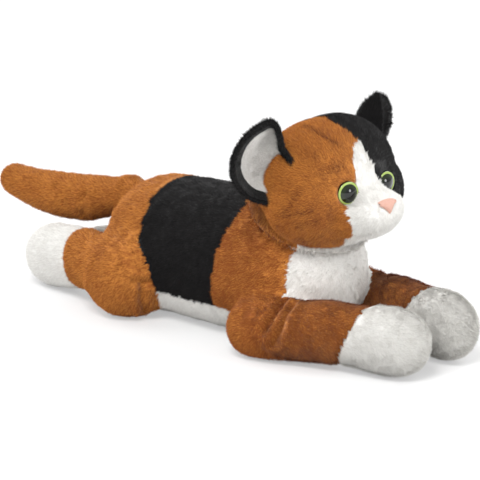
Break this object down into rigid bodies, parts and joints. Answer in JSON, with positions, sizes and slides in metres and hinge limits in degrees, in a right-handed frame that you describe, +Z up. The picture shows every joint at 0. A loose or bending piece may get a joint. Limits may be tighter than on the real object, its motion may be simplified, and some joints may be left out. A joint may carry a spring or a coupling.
{
  "type": "plush cat",
  "caption": "Floppy plush calico cat lying on its belly, legs stretched out, with turning head, folding ears, swinging legs and tail",
  "frame": {"origin": "on the surface that the cat lies on, below the middle of its length and width", "axes": "+X towards the nose and front paws, +Y towards the cat's own left side, +Z up"},
  "size_m": [0.4576, 0.154, 0.1812],
  "materials": {
    "orange_plush": "short soft pile, ginger orange",
    "black_plush": "short soft pile, black",
    "white_plush": "short soft pile, white",
    "ear_lining_plush": "short smooth pile, white",
    "nose_thread": "satin stitched thread, pink",
    "polyester_fill": "loose fibre fill",
    "pouch_cloth": "thin plain woven cloth",
    "bean_pellets": "small round pellets",
    "eye_plastic": "polished dome, black pupil with a green ring",
    "washer_plastic": "plain moulded"
  },
  "bodies": {
    "trunk": {"torso_rear_panel": "orange_plush", "torso_saddle_panel": "black_plush", "torso_shoulder_panel": "orange_plush", "torso_belly_panel": "white_plush", "torso_bib_panel": "white_plush", "torso_stuffing": "polyester_fill", "bean_pouch": "pouch_cloth", "bean_fill": "bean_pellets"},
    "neck": {"neck_collar": "orange_plush"},
    "head": {"head_orange_panel": "orange_plush", "head_black_panel": "black_plush", "head_face_panel": "white_plush", "head_stuffing": "polyester_fill", "nose_stitching": "nose_thread", "eye_left": "eye_plastic", "eye_right": "eye_plastic", "eye_washer_left": "washer_plastic", "eye_washer_right": "washer_plastic"},
    "tail": {"tail_skin": "orange_plush", "tail_stuffing": "polyester_fill"},
    "ear_left": {"ear_back_left": "black_plush", "ear_lining_left": "ear_lining_plush"},
    "front_leg_left": {"front_sleeve_left": "orange_plush", "front_paw_left": "white_plush", "front_stuffing_left": "polyester_fill"},
    "hind_leg_left": {"hind_sleeve_left": "orange_plush", "hind_paw_left": "white_plush", "hind_stuffing_left": "polyester_fill"},
    "ear_right": {"ear_back_right": "black_plush", "ear_lining_right": "ear_lining_plush"},
    "front_leg_right": {"front_sleeve_right": "orange_plush", "front_paw_right": "white_plush", "front_stuffing_right": "polyester_fill"},
    "hind_leg_right": {"hind_sleeve_right": "orange_plush", "hind_paw_right": "white_plush", "hind_stuffing_right": "polyester_fill"}
  },
  "joints": [
    {"name": "neck_turn", "type": "hinge", "parent": "trunk", "child": "neck", "pos_m": [0.11886, 0, 0.1275], "axis": [0, 0, 1], "range_deg": [-20, 20], "stiffness_Nm_per_rad": 1},
    {"name": "head_nod", "type": "hinge", "parent": "neck", "child": "head", "pos_m": [0.11886, 0, 0.1275], "axis": [0, 1, 0], "range_deg": [-10, 15], "stiffness_Nm_per_rad": 2},
    {"name": "tail_swing", "type": "hinge", "parent": "trunk", "child": "tail", "pos_m": [-0.08884, 0, 0.0805], "axis": [0, 0, 1], "range_deg": [-25, 25], "stiffness_Nm_per_rad": 0.1},
    {"name": "ear_left_flex", "type": "hinge", "parent": "head", "child": "ear_left", "pos_m": [0.10636, 0.05044, 0.1415], "axis": [0.3876, -0.3253, 0.8625], "range_deg": [0, 10], "stiffness_Nm_per_rad": 0.05},
    {"name": "front_leg_left_swing", "type": "hinge", "parent": "trunk", "child": "front_leg_left", "pos_m": [0.09606, 0.056, 0.0225], "axis": [0, 0, 1], "range_deg": [0, 45]},
    {"name": "hind_leg_left_swing", "type": "hinge", "parent": "trunk", "child": "hind_leg_left", "pos_m": [-0.04794, 0.044, 0.0335], "axis": [0, 0, -1], "range_deg": [0, 45]},
    {"name": "ear_right_flex", "type": "hinge", "parent": "head", "child": "ear_right", "pos_m": [0.10636, -0.05044, 0.1415], "axis": [-0.3876, -0.3253, -0.8625], "range_deg": [0, 10], "stiffness_Nm_per_rad": 0.05},
    {"name": "front_leg_right_swing", "type": "hinge", "parent": "trunk", "child": "front_leg_right", "pos_m": [0.09606, -0.056, 0.0225], "axis": [0, 0, -1], "range_deg": [0, 45]},
    {"name": "hind_leg_right_swing", "type": "hinge", "parent": "trunk", "child": "hind_leg_right", "pos_m": [-0.04794, -0.044, 0.0335], "axis": [0, 0, 1], "range_deg": [0, 45]}
  ]
}
